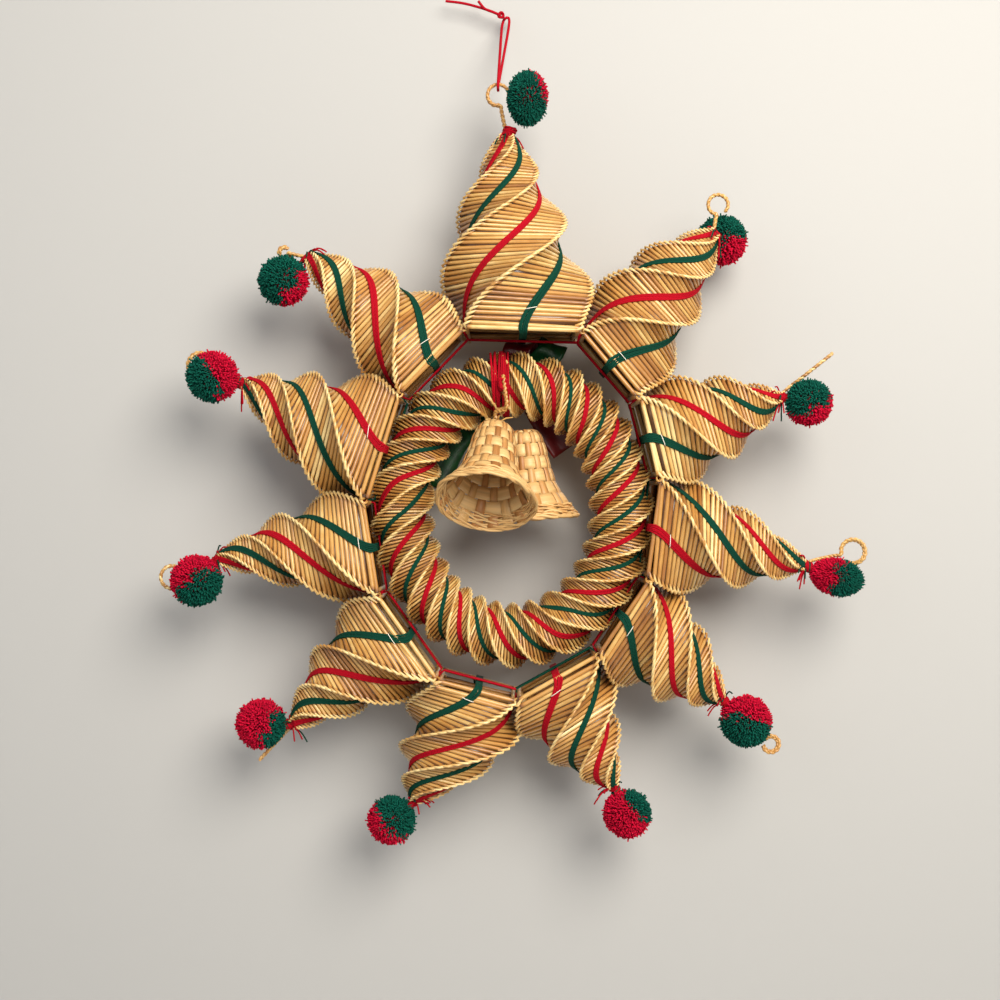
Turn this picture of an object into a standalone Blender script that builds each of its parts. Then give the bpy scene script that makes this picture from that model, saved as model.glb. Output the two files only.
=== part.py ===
"""A straw sunburst that hangs on a wall: eleven hollow twisted cones round a twisted ring.

Metres, +Z up. The hang point is the origin, the wall is the plane y = 0, and the front faces -Y.
Places round the ring are given as a reach from its middle and a clock angle: 0 is up, 90 is right.
"""

import math

import bmesh
import bpy
from mathutils import Vector

# Hanging and depth
RING_DROP = 0.357  # hang point down to the middle of the cone mouths
RING_SHIFT = 0.004  # the middle lies this far right of the hang point
MOUTH_DEPTH = 0.062  # a cone's mouth, front edge to back edge
TOP_MOUTH_DEPTH = 0.072  # the larger top cone's
STANDOFF = 0.052  # wall to the middle plane, which leaves room for the deepest ridge
MID_PLANE = -STANDOFF

# The loop of mouths, where neighbouring cones are tied corner to corner
MOUTH_HALF_WIDTH = 0.1004
MOUTH_HALF_HEIGHT = 0.127
JOINT_GAP = 0.0007  # between two cones' tied corners
STRAW = 0.0033  # one straw, which is the thickness of a cone's wall

# The shape that all cones share
TIP_SHARE = 0.10  # ridge radius at the tip, of that at the mouth
CONE_TWIST = math.radians(268)
TWIST_DELAY = 1.4  # the first turn is slower than the last
HOLLOW_SHARE = 0.8  # the hollow's length, of the cone's
CONE_STEPS = 22
SETTLE = 0.35  # share of the length in which the mouth's shape becomes a square

# The ring
RING_RIDGE = 0.0225  # from the tube's middle to its four ridges
RING_SIDE_GAP = 0.0009  # between the tied corners and the ridges, left and right
RING_END_GAP = 0.0165  # the same at top and bottom
RING_SAG = 0.0035  # the ring sits this far below the middle of the mouths
RING_QUARTER_TURNS = 30
STEPS_PER_QUARTER = 4

# The ring is turned by hand, so its twist runs ahead of even or behind it: clock angle, degrees ahead
RING_LEADS = (
    (0, -2.5),
    (20, -4),
    (41, 1),
    (60, 6),
    (80, 10),
    (117, 9),
    (143, 7),
    (160, 2),
    (197, 1),
    (230, 4),
    (268, 2),
    (285, -3),
    (322, -4),
    (338, -8),
    (349, -7),
    (360, -2.5),
)

# Pompoms and plaited tips
BALL_GAP = 0.0006  # between a pompom and the straw beside it
PLAIT_RADIUS = 0.0017
PLAIT_SIDES = 4

# Bells
BELL_LENGTH = 0.064
BELL_MOUTH_RADIUS = 0.0345
BELL_CROWN_RADIUS = 0.0138
BELL_WALL = 0.0018
BELL_SEGMENTS = 24
BELL_TIE_RADIUS = 0.0028

# Yarn and ribbon
YARN_RADIUS = 0.0011
NAIL_ROOM = 0.0026  # radius of the hanger's top bend, which goes over a nail
RIBBON_WIDTH = 0.019
RIBBON_THICKNESS = 0.0006
RIBBON_GAP = 0.0025  # between the two ribbons, and between them and the ring

# The tied corners, clockwise from the one right of the top cone: clock angle, share of the loop's radius
CORNERS = (
    (26.9, 1.044),
    (56.0, 1.037),
    (81.8, 1.01),
    (113.2, 1.01),
    (144.0, 1.0),
    (178.2, 1.053),
    (208.7, 1.068),
    (242.1, 1.034),
    (271.5, 1.005),
    (307.8, 0.965),
    (341.0, 1.002),
)

# The cones, clockwise from the top one: reach and clock angle of the tip, sideways bow of the axis,
# ridge radius beyond the mouth as a share of the mouth's, and how full the cone is further out
CONES = (
    (0.259, -0.7, -0.002, 1.07, 1.85),
    (0.242, 36.9, -0.003, 0.97, 2.5),
    (0.214, 68.4, 0.0015, 0.94, 2.4),
    (0.214, 101.7, -0.0015, 0.90, 1.9),
    (0.214, 132.6, 0.0, 0.95, 2.2),
    (0.216, 159.9, 0.004, 0.93, 1.9),
    (0.233, 198.8, -0.004, 1.03, 2.6),
    (0.225, 225.3, 0.005, 0.93, 1.7),
    (0.227, 260.2, 0.002, 0.96, 1.5),
    (0.2205, 294.4, -0.004, 0.98, 1.9),
    (0.226, 320.8, 0.002, 0.96, 1.7),
)

# Their pompoms: reach, clock angle, radius, how far in front of the cone's axis (less than 0 is behind)
POMPOMS = (
    (0.282, 2.2, 0.0132, 0.010),
    (0.2415, 38.5, 0.0165, -0.020),
    (0.219, 71.0, 0.0150, 0.004),
    (0.232, 102.5, 0.0125, 0.004),
    (0.222, 132.7, 0.0165, 0.004),
    (0.230, 159.5, 0.0155, 0.002),
    (0.235, 200.9, 0.0155, 0.004),
    (0.232, 228.9, 0.0160, 0.004),
    (0.225, 256.5, 0.0165, 0.008),
    (0.226, 293.2, 0.0165, 0.008),
    (0.223, 314.5, 0.0160, 0.004),
)

# The two pompoms that are longer than wide: length over width, the length along their cone
LONG_POMPOMS = {0: 1.36, 3: 1.42}

# The plaited straw ends: reach, clock angle, loop radius (0 is a straight end); None has no plait in sight
PLAITS = (
    (0.287, -1.9, 0.0075),
    (0.255, 34.5, 0.0070),
    (0.2486, 64.7, 0.0),
    (0.241, 97.8, 0.0085),
    (0.2467, 132.7, 0.0055),
    None,
    None,
    (0.251, 224.7, 0.0),
    (0.243, 258.0, 0.0080),
    (0.239, 294.2, 0.0085),
    (0.238, 318.0, 0.0035),
)


def clear_scene():
    for obj in list(bpy.data.objects):
        bpy.data.objects.remove(obj, do_unlink=True)


def material(name, colour, roughness):
    made = bpy.data.materials.new(name)
    made.use_nodes = True
    shader = made.node_tree.nodes["Principled BSDF"]
    shader.inputs["Base Color"].default_value = (*colour, 1.0)
    shader.inputs["Roughness"].default_value = roughness
    return made


def add_object(name, bm, collection, finish, smooth=False):
    """Turns the bmesh into a named object with its own material."""
    bmesh.ops.recalc_face_normals(bm, faces=bm.faces)
    mesh = bpy.data.meshes.new(name)
    bm.to_mesh(mesh)
    bm.free()
    mesh.materials.append(material(name, *finish))
    for face in mesh.polygons:
        face.use_smooth = smooth
    obj = bpy.data.objects.new(name, mesh)
    collection.objects.link(obj)
    return obj


def clock_point(reach, clock, depth=MID_PLANE):
    """The place at this reach and clock angle from the middle of the mouths."""
    angle = math.radians(clock)
    return Vector(
        (RING_SHIFT + reach * math.sin(angle), depth, reach * math.cos(angle) - RING_DROP)
    )


def corner_point(index):
    """Where the cone of this index is tied to the next one clockwise."""
    clock, share = CORNERS[index % len(CORNERS)]
    angle = math.radians(clock)
    return Vector(
        (
            RING_SHIFT + share * MOUTH_HALF_WIDTH * math.sin(angle),
            MID_PLANE,
            share * MOUTH_HALF_HEIGHT * math.cos(angle) - RING_DROP,
        )
    )


def add_section(bm, points):
    return [bm.verts.new(point) for point in points]


def join_sections(bm, first, second, shift=0):
    count = len(first)
    for k in range(count):
        after = (k + 1) % count
        bm.faces.new(
            (first[k], first[after], second[(after + shift) % count], second[(k + shift) % count])
        )


def join_split(bm, low, high):
    """Joins two sections with each facet split along the diagonal that stands out from a turning cone."""
    count = len(low)
    for k in range(count):
        after = (k + 1) % count
        bm.faces.new((low[k], low[after], high[k]))
        bm.faces.new((low[after], high[after], high[k]))


def loft_wall(bm, outer, inner):
    """A wall open at its first sections. Both its faces are split alike, so they never meet."""
    rims = []
    for sections in (outer, inner):
        rows = [add_section(bm, points) for points in sections]
        for low, high in zip(rows, rows[1:]):
            join_split(bm, low, high)
        bm.faces.new(rows[-1])
        rims.append(rows[0])
    join_sections(bm, *rims)


def loft(bm, sections, closed=False, shift=0):
    """Skins the sections in order, with a cap on each end unless it is a closed loop."""
    rows = [add_section(bm, points) for points in sections]
    for first, second in zip(rows, rows[1:]):
        join_sections(bm, first, second)
    if closed:
        join_sections(bm, rows[-1], rows[0], shift)
    else:
        bm.faces.new(rows[0])
        bm.faces.new(rows[-1])


def carried_frames(path, side):
    """Side and across vectors carried along a path without twist."""
    frames = []
    side = side.normalized()
    for k, point in enumerate(path):
        before = path[max(k - 1, 0)]
        after = path[min(k + 1, len(path) - 1)]
        tangent = (after - before).normalized()
        side = (side - tangent * side.dot(tangent)).normalized()
        frames.append((point, side.copy(), tangent.cross(side)))
    return frames


def tube_sections(path, radius, sides, side):
    sections = []
    for point, u, v in carried_frames(path, side):
        turn = [2 * math.pi * k / sides for k in range(sides)]
        sections.append([point + radius * (math.cos(a) * u + math.sin(a) * v) for a in turn])
    return sections


def smooth_path(points, steps):
    """A Catmull-Rom curve through the points."""
    ends = [2 * points[0] - points[1], *points, 2 * points[-1] - points[-2]]
    path = []
    for a, b, c, d in zip(ends, ends[1:], ends[2:], ends[3:]):
        for step in range(steps):
            t = step / steps
            path.append(
                0.5
                * (
                    2 * b
                    + (c - a) * t
                    + (2 * a - 5 * b + 4 * c - d) * t**2
                    + (3 * b - a - 3 * c + d) * t**3
                )
            )
    path.append(points[-1].copy())
    return path


def pompom_place(index):
    reach, clock, radius, forward = POMPOMS[index]
    return clock_point(reach, clock, MID_PLANE - forward), radius


def pompom_outward(index):
    """The way out from the loop's middle through a pompom, in the wall's plane."""
    clock = math.radians(POMPOMS[index][1])
    return Vector((math.sin(clock), 0, math.cos(clock)))


def cone_measures(index):
    """Mouth middle, end of the weave, side vector, mouth width and depth, bow, girth and fullness."""
    first = corner_point(index - 1)
    last = corner_point(index)
    along = (last - first).normalized()
    width = (last - first).length - 2 * JOINT_GAP
    depth = TOP_MOUTH_DEPTH if index == 0 else MOUTH_DEPTH
    mouth = (first + last) / 2
    reach, clock, bow, girth, fullness = CONES[index]
    tip = clock_point(reach, clock)
    ball, radius = pompom_place(index)
    tip_radius = TIP_SHARE * (width + depth) / math.sqrt(8)
    clear = radius * LONG_POMPOMS.get(index, 1) + tip_radius + BALL_GAP
    span = tip - mouth
    offset = mouth - ball
    a = span.length_squared
    b = offset.dot(span)
    inside = b * b - a * (offset.length_squared - clear * clear)
    share = 1.0
    if inside > 0:
        share = min(1.0, (-b - math.sqrt(inside)) / a)
    return mouth, mouth + span * share, along, width, depth, bow, girth, fullness


def cone_section(measures, t, inset=0.0):
    """The four corners of a cone's section; inset shrinks it to the hollow inside."""
    mouth, end, side, width, depth, bow, girth, fullness = measures
    back = Vector((0, 1, 0))
    settled = min(t / SETTLE, 1.0)
    settled = settled * settled * (3 - 2 * settled)
    taper = 1 - (1 - TIP_SHARE) * t**fullness
    ridge = girth * (width + depth) / math.sqrt(8)
    wide = taper * (width / math.sqrt(2) * (1 - settled) + ridge * settled) - inset * math.sqrt(2)
    deep = taper * (depth / math.sqrt(2) * (1 - settled) + ridge * settled) - inset * math.sqrt(2)
    turn = CONE_TWIST * t**TWIST_DELAY
    centre = mouth.lerp(end, t) + bow * math.sin(math.pi * t) * side
    corners = []
    for k in range(4):
        angle = math.pi / 4 + k * math.pi / 2 + turn
        corners.append(centre + wide * math.cos(angle) * side + deep * math.sin(angle) * back)
    return corners


def plait_path(index, start, axis):
    """From a cone's tip past its pompom to the plaited end, round its loop if it has one.

    It goes behind a pompom that stands in front of the cone's axis, and before one behind it.
    """
    reach, clock, loop_radius = PLAITS[index]
    ball, ball_radius = pompom_place(index)
    goal = clock_point(reach, clock)
    heading = (goal - start).normalized()
    entry = goal - heading * loop_radius
    clear = ball_radius + PLAIT_RADIUS * 1.5 + 2 * BALL_GAP
    outward = pompom_outward(index)
    away = 1 if ball.y < MID_PLANE else -1
    points = [start, start + axis * PLAIT_RADIUS]
    steps = 9
    for step in range(1, steps + 1):
        points.append(start.lerp(entry, step / steps))
    if loop_radius:
        side = Vector((heading.z, 0, -heading.x))
        turns = 10
        centre = points[-1] + heading * loop_radius
        for step in range(1, turns):
            angle = math.pi + 2 * math.pi * step / turns * 0.94
            points.append(
                centre + loop_radius * (math.cos(angle) * heading + math.sin(angle) * side)
            )
    for point in points[2:]:
        off = Vector((point.x - ball.x, 0, point.z - ball.z))
        off -= outward * off.dot(outward) * (1 - 1 / LONG_POMPOMS.get(index, 1))
        flat = off.length
        if flat < clear:
            passing = ball.y + away * math.sqrt(clear**2 - flat**2)
            point.y = max(point.y * away, passing * away) * away
    return points


def add_cone(index, collection):
    measures = cone_measures(index)
    end = measures[1]
    axis = (end - measures[0]).normalized()
    outer = [cone_section(measures, k / CONE_STEPS) for k in range(CONE_STEPS + 1)]
    if PLAITS[index]:
        path = plait_path(index, end, axis)[2:]
        outer += tube_sections(path, PLAIT_RADIUS, PLAIT_SIDES, outer[-1][0] - end)
    hollow_steps = round(CONE_STEPS * HOLLOW_SHARE)
    inner = [cone_section(measures, k / CONE_STEPS, STRAW) for k in range(hollow_steps + 1)]
    bm = bmesh.new()
    loft_wall(bm, outer, inner)
    add_object(f"arm_{index + 1:02d}", bm, collection, ((0.68, 0.45, 0.20), 0.5))


def add_pompom(index, collection):
    centre, radius = pompom_place(index)
    bm = bmesh.new()
    bmesh.ops.create_uvsphere(bm, u_segments=12, v_segments=8, radius=radius)
    outward = pompom_outward(index)
    for vert in bm.verts:
        vert.co += outward * vert.co.dot(outward) * (LONG_POMPOMS.get(index, 1) - 1)
    bmesh.ops.translate(bm, verts=bm.verts, vec=centre)
    colour = (0.02, 0.20, 0.15) if index % 2 else (0.55, 0.01, 0.02)
    add_object(f"pompom_{index + 1:02d}", bm, collection, (colour, 0.95), smooth=True)


def ring_centre():
    return Vector((RING_SHIFT, MID_PLANE, -RING_DROP - RING_SAG))


def ring_axes():
    return (
        MOUTH_HALF_WIDTH - RING_SIDE_GAP - RING_RIDGE,
        MOUTH_HALF_HEIGHT - RING_END_GAP - RING_RIDGE,
    )


def ring_lead(clock):
    """How far the ring's twist runs ahead of even at this clock angle, in degrees."""
    for (low, first), (high, last) in zip(RING_LEADS, RING_LEADS[1:]):
        if clock <= high:
            return first + (last - first) * (clock - low) / (high - low)
    return RING_LEADS[-1][1]


def add_ring(collection):
    wide, high = ring_axes()
    centre = ring_centre()
    count = RING_QUARTER_TURNS * STEPS_PER_QUARTER
    sections = []
    for k in range(count):
        degrees = 360 * k / count
        clock = math.radians(degrees)
        point = centre + Vector((wide * math.sin(clock), 0, high * math.cos(clock)))
        tangent = Vector((wide * math.cos(clock), 0, -high * math.sin(clock))).normalized()
        front = Vector((0, -1, 0))
        outward = front.cross(tangent)
        turn = RING_QUARTER_TURNS / 4 * math.radians(degrees + ring_lead(degrees))
        sections.append(
            [
                point
                + RING_RIDGE
                * (math.cos(turn + c * math.pi / 2) * outward + math.sin(turn + c * math.pi / 2) * front)
                for c in range(4)
            ]
        )
    bm = bmesh.new()
    loft(bm, sections, closed=True, shift=-RING_QUARTER_TURNS % 4)
    add_object("ring", bm, collection, ((0.60, 0.38, 0.17), 0.5))


def bell_outline():
    """Half the bell's section, from the crown's top down the outside and back up the inside."""
    outside = [
        (0.0, 0.0),
        (BELL_CROWN_RADIUS * 0.75, -0.0012),
        (BELL_CROWN_RADIUS, -0.006),
        (BELL_CROWN_RADIUS * 1.2, -BELL_LENGTH * 0.30),
        (BELL_CROWN_RADIUS * 1.45, -BELL_LENGTH * 0.58),
        (BELL_MOUTH_RADIUS * 0.76, -BELL_LENGTH * 0.79),
        (BELL_MOUTH_RADIUS * 0.91, -BELL_LENGTH * 0.92),
        (BELL_MOUTH_RADIUS, -BELL_LENGTH),
    ]
    inside = [(max(r - BELL_WALL, 0.0), z) for r, z in outside[2:]]
    inside[0] = (inside[0][0], inside[0][1] - BELL_WALL / 2)
    return outside + inside[::-1] + [(0.0, -0.0012 - BELL_WALL)]


def bell_places():
    """Crown top and direction of the mouth of the two bells."""
    crown_line = -RING_DROP - RING_SAG + ring_axes()[1] - RING_RIDGE
    front = (Vector((-0.007, MID_PLANE - 0.0148, crown_line - 0.008)), Vector((-0.10, -0.55, -0.79)))
    rear = (Vector((0.0115, MID_PLANE + 0.0065, crown_line - 0.009)), Vector((0.09, -0.02, -0.97)))
    return {"bell_front": front, "bell_rear": rear}


def add_bells(collection):
    for name, (crown, heading) in bell_places().items():
        bm = bmesh.new()
        verts = [bm.verts.new((r, 0, z)) for r, z in bell_outline()]
        edges = [bm.edges.new(pair) for pair in zip(verts, verts[1:])]
        bmesh.ops.spin(
            bm,
            geom=verts + edges,
            cent=(0, 0, 0),
            axis=(0, 0, 1),
            angle=2 * math.pi,
            steps=BELL_SEGMENTS,
        )
        bmesh.ops.remove_doubles(bm, verts=bm.verts, dist=1e-5)
        turn = Vector((0, 0, -1)).rotation_difference(heading.normalized())
        bmesh.ops.rotate(bm, verts=bm.verts, cent=(0, 0, 0), matrix=turn.to_matrix())
        bmesh.ops.translate(bm, verts=bm.verts, vec=crown)
        add_object(name, bm, collection, ((0.80, 0.58, 0.30), 0.55), smooth=True)


def add_bell_tie(collection):
    """The plait and yarn that go over the front of the ring and down to the bells' crowns."""
    crown, heading = bell_places()["bell_front"]
    front = MID_PLANE - RING_RIDGE - BELL_TIE_RADIUS - BALL_GAP
    top = ring_centre().z + ring_axes()[1] + RING_RIDGE * 0.6
    points = [
        Vector((crown.x - 0.006, front + 0.002, top)),
        Vector((crown.x - 0.005, front - 0.002, top - RING_RIDGE)),
        Vector((crown.x - 0.002, front - 0.001, crown.z + 0.014)),
        crown - heading * (BELL_TIE_RADIUS * 1.6 + BALL_GAP),
    ]
    bm = bmesh.new()
    loft(bm, tube_sections(smooth_path(points, 3), BELL_TIE_RADIUS, 6, Vector((1, 0, 0))))
    add_object("bell_tie", bm, collection, ((0.55, 0.02, 0.03), 0.9))


def add_ribbon(name, points, colour, collection):
    """A flat band along the points, each a place and the direction across the band."""
    sections = []
    for k, (point, across) in enumerate(points):
        before = points[max(k - 1, 0)][0]
        after = points[min(k + 1, len(points) - 1)][0]
        across = across.normalized()
        face = (after - before).cross(across).normalized()
        half = across * RIBBON_WIDTH / 2
        thick = face * RIBBON_THICKNESS / 2
        sections.append(
            [point + half + thick, point + half - thick, point - half - thick, point - half + thick]
        )
    bm = bmesh.new()
    loft(bm, sections)
    add_object(name, bm, collection, (colour, 0.35))


def ribbon_points(places, depth, across):
    """Places given right of and above the top of the ring's middle line."""
    top = ring_centre() + Vector((0, 0, ring_axes()[1]))
    return [
        (Vector((top.x + right, depth - forward, top.z + up)), Vector(direction))
        for (right, up, forward), direction in zip(places, across)
    ]


def add_ribbons(collection):
    behind = MID_PLANE + RING_RIDGE
    red = ribbon_points(
        (
            (0.010, 0.031, 0.0),
            (0.008, 0.010, 0.0),
            (0.016, -0.010, 0.0),
            (0.027, -0.030, 0.0),
            (0.038, -0.046, 0.0),
        ),
        behind + RIBBON_GAP,
        ((1, 0, 0), (1, 0, 0.1), (1, 0, 0.45), (1, 0, 0.5), (1, 0, 0.5)),
    )
    add_ribbon("ribbon_red", red, (0.12, 0.005, 0.01), collection)
    green = ribbon_points(
        (
            (0.030, 0.032, 0.0),
            (0.018, 0.012, 0.0),
            (-0.004, -0.008, 0.0),
            (-0.026, -0.022, 0.0),
            (-0.042, -0.042, 0.0),
            (-0.055, -0.072, 0.0),
        ),
        behind + 2 * RIBBON_GAP,
        ((1, 0, -0.3), (1, 0, -0.9), (0.7, 0, -1), (0.7, 0, -1), (1, 0, -0.7), (1, 0, -0.4)),
    )
    add_ribbon("ribbon_green", green, (0.005, 0.06, 0.02), collection)


def add_hanger(collection):
    """One yarn: loose tail, over the nail, down through the top plait's loop and back up."""
    reach, clock, loop_radius = PLAITS[0]
    loop = clock_point(reach, clock)
    crossing = loop + Vector((0, 0, loop_radius))
    room = 1.3 * (PLAIT_RADIUS + YARN_RADIUS + BALL_GAP)
    nail = Vector((0, -NAIL_ROOM * 2, -NAIL_ROOM))
    under = Vector((crossing.x, crossing.y, crossing.z - room))
    behind = Vector((crossing.x, crossing.y + room, crossing.z))
    before = Vector((crossing.x, crossing.y - room, crossing.z))
    points = [
        nail + Vector((-0.041, -0.004, NAIL_ROOM + 0.0115)),
        nail + Vector((-0.026, -0.004, NAIL_ROOM + 0.0085)),
        nail + Vector((-0.010, -0.003, NAIL_ROOM + 0.0035)),
        nail + Vector((0, -0.001, NAIL_ROOM)),
        nail + Vector((NAIL_ROOM, 0, 0)),
        nail.lerp(behind, 0.5) + Vector((NAIL_ROOM / 2, room * 0.8, 0)),
        behind,
        under,
        before,
        nail.lerp(before, 0.5) + Vector((-NAIL_ROOM / 2, -room * 0.8, 0)),
        nail + Vector((-NAIL_ROOM, 0, -NAIL_ROOM)),
    ]
    bm = bmesh.new()
    loft(bm, tube_sections(smooth_path(points, 4), YARN_RADIUS, 6, Vector((0, 1, 0))))
    add_object("hanger_yarn", bm, collection, ((0.60, 0.01, 0.03), 0.9))


def main():
    clear_scene()
    collection = bpy.data.collections.new("straw_ornament")
    bpy.context.scene.collection.children.link(collection)
    add_ring(collection)
    for index in range(len(CONES)):
        add_cone(index, collection)
        add_pompom(index, collection)
    add_bells(collection)
    add_bell_tie(collection)
    add_ribbons(collection)
    add_hanger(collection)


main()
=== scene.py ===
"""Looks of the straw sunburst: every straw of the eleven cones and of the ring, the yarn bands, the
pompoms, the woven bells and the ribbon bow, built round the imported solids.

Metres, +Z up, the wall is the plane y = 0 and the front faces -Y. Places round the ring are given as a
reach from its middle and a clock angle: 0 is up, 90 is right.
"""

import math
import random

import bmesh
import bpy
from mathutils import Matrix, Vector


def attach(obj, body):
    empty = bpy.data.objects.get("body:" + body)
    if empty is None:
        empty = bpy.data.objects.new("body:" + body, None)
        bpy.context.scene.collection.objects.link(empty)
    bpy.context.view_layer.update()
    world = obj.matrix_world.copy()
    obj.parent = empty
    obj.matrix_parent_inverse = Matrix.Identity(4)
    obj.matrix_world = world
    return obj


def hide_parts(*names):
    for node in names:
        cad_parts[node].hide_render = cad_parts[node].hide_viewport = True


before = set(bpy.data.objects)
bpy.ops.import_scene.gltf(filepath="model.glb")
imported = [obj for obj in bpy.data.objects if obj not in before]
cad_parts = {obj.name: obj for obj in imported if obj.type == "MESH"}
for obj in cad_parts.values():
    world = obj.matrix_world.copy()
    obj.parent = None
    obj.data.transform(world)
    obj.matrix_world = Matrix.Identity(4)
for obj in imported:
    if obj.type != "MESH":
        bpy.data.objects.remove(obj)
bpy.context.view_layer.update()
chance = random.Random(20)

# Sizes shared with the solids
RING_DROP = 0.357
RING_SHIFT = 0.004
MOUTH_DEPTH = 0.062
TOP_MOUTH_DEPTH = 0.072
MID_PLANE = -0.052
MOUTH_HALF_WIDTH = 0.1004
MOUTH_HALF_HEIGHT = 0.127
JOINT_GAP = 0.0007
STRAW = 0.0033
TIP_SHARE = 0.10
CONE_TWIST = math.radians(268)
TWIST_DELAY = 1.4
SETTLE = 0.35
RING_RIDGE = 0.0225
RING_SIDE_GAP = 0.0009
RING_END_GAP = 0.0165
RING_SAG = 0.0035
RING_QUARTER_TURNS = 30
BALL_GAP = 0.0006
PLAIT_RADIUS = 0.0017
BELL_LENGTH = 0.064
BELL_MOUTH_RADIUS = 0.0345
BELL_CROWN_RADIUS = 0.0138
NAIL_ROOM = 0.0026
YARN_RADIUS = 0.0011
RIBBON_WIDTH = 0.019
RIBBON_GAP = 0.0025

# The tied corners, clockwise from the one right of the top cone: clock angle, share of the loop's radius
CORNERS = (
    (26.9, 1.044),
    (56.0, 1.037),
    (81.8, 1.01),
    (113.2, 1.01),
    (144.0, 1.0),
    (178.2, 1.053),
    (208.7, 1.068),
    (242.1, 1.034),
    (271.5, 1.005),
    (307.8, 0.965),
    (341.0, 1.002),
)

# The cones: reach and clock angle of the tip, sideways bow, ridge radius beyond the mouth, fullness
CONES = (
    (0.259, -0.7, -0.002, 1.07, 1.85),
    (0.242, 36.9, -0.003, 0.97, 2.5),
    (0.214, 68.4, 0.0015, 0.94, 2.4),
    (0.214, 101.7, -0.0015, 0.90, 1.9),
    (0.214, 132.6, 0.0, 0.95, 2.2),
    (0.216, 159.9, 0.004, 0.93, 1.9),
    (0.233, 198.8, -0.004, 1.03, 2.6),
    (0.225, 225.3, 0.005, 0.93, 1.7),
    (0.227, 260.2, 0.002, 0.96, 1.5),
    (0.2205, 294.4, -0.004, 0.98, 1.9),
    (0.226, 320.8, 0.002, 0.96, 1.7),
)

# Their pompoms: reach, clock angle, radius, how far in front of the cone's axis (less than 0 is behind)
POMPOMS = (
    (0.282, 2.2, 0.0132, 0.010),
    (0.2415, 38.5, 0.0165, -0.020),
    (0.219, 71.0, 0.0150, 0.004),
    (0.232, 102.5, 0.0125, 0.004),
    (0.222, 132.7, 0.0165, 0.004),
    (0.230, 159.5, 0.0155, 0.002),
    (0.235, 200.9, 0.0155, 0.004),
    (0.232, 228.9, 0.0160, 0.004),
    (0.225, 256.5, 0.0165, 0.008),
    (0.226, 293.2, 0.0165, 0.008),
    (0.223, 314.5, 0.0160, 0.004),
)

# The two pompoms that are longer than wide: length over width, the length along their cone
LONG_POMPOMS = {0: 1.36, 3: 1.42}

# The plaited straw ends: reach, clock angle, loop radius (0 is a straight end); None has none in sight
PLAITS = (
    (0.287, -1.9, 0.0075),
    (0.255, 34.5, 0.0070),
    (0.2486, 64.7, 0.0),
    (0.241, 97.8, 0.0085),
    (0.2467, 132.7, 0.0055),
    None,
    None,
    (0.251, 224.7, 0.0),
    (0.243, 258.0, 0.0080),
    (0.239, 294.2, 0.0085),
    (0.238, 318.0, 0.0035),
)

# The colour of the yarn band on each cone's front face, and where each pompom is green:
# clock angle of its green side, and how much of the ball that side leaves red (-1 none, 1 all)
FRONT_BANDS = "GGGRGRGGGRG"
GREEN_SIDES = (
    (235, -0.60),
    (345, 0.05),
    (335, -0.10),
    (105, 0.05),
    (190, -0.05),
    (55, 0.55),
    (45, 0.00),
    (110, 0.60),
    (140, 0.10),
    (245, 0.05),
    (310, -0.40),
)

# Straw work
CONE_PITCH = 0.00275  # mean step from round to round along a cone
CLOSING = 0.20  # how much wider the steps are at the mouth, and closer at the tip
CONE_FOLD = (1.9, 0.64)  # a fold's reach over each face and its radius, in straw radii
RING_FOLD = (3.8, 0.84)
FOLD_PAINTED_LIGHT = (-0.25, 0.05, 0.20, 0.10, -0.30)  # along a fold: painted shade at its ends and a painted highlight over the ridge
STRAW_PAINTED_SHADE = (-0.60, -0.05, 0.05, -0.05, -0.60)  # along a straw: painted shade at its ends, where they lie under the folds
MOUTH_ROUNDS = 2  # rounds at a cone's mouth that lie looser than the others
MOUTH_LOOSENESS = 0.0010  # how far a straw's ends lie off their line
LOOSENESS = 0.00018
RING_LOOSENESS = 0.00012
SHADE_SHEET_OUTSIDE = 0.38  # the dark sheet of painted shade behind the straws: its faces below the ridges, in straws
SHADE_SHEET_INSIDE = 0.54
CONE_SIDES = 7  # of a straw's own section
RING_SIDES = 6
FACE_PARTS = 4  # the flat parts across each face of the dark sheets of painted shade
RING_ROUNDS = 250
RING_STRAW = 0.00092  # radius
RING_PAINTED_SHADE = 0.07  # painted shade: how much darker the ring's straw is toned than the cones', for the shade it lies in
# Where the ring's twist runs ahead of an even one: clock angle, lead in degrees of the clock
RING_LEADS = (
    (0, -2.5),
    (20, -4),
    (41, 1),
    (60, 6),
    (80, 10),
    (117, 9),
    (143, 7),
    (160, 2),
    (197, 1),
    (230, 4),
    (268, 2),
    (285, -3),
    (322, -4),
    (338, -8),
    (349, -7),
    (360, -2.5),
)

# Yarn
BAND_STRANDS = 5
BAND_LIFT = 0.0004  # of the ring's bands off its ridges' square
BAND_STRAND = 0.00072  # radius of one strand of a band
BAND_STEP = 0.00132  # between the strands at the mouth
RING_BANDS = (("green", (0, 2), 0.0013), ("red", (3, 1), 0.0016))  # colour, faces, strand step
TIP_WRAPS = 9
WRAP_RADIUS = 0.00085
LOOSE_ENDS = 9
LOOSE_END_RADIUS = 0.00055
STITCH_RADIUS = 0.00026
CORNER_TIE_RADIUS = 0.00045
CORNER_TIE_LOOP = 0.0023
STRAND_RADIUS = 0.0010  # a strand of the hanger


def clock_point(reach, clock, depth=MID_PLANE):
    """The place at this reach and clock angle from the middle of the mouths."""
    angle = math.radians(clock)
    return Vector((RING_SHIFT + reach * math.sin(angle), depth, reach * math.cos(angle) - RING_DROP))


def corner_point(index):
    """Where the cone of this index is tied to the next one clockwise."""
    clock, share = CORNERS[index % len(CORNERS)]
    angle = math.radians(clock)
    right = share * MOUTH_HALF_WIDTH * math.sin(angle)
    up = share * MOUTH_HALF_HEIGHT * math.cos(angle)
    return Vector((RING_SHIFT + right, MID_PLANE, up - RING_DROP))


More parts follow.
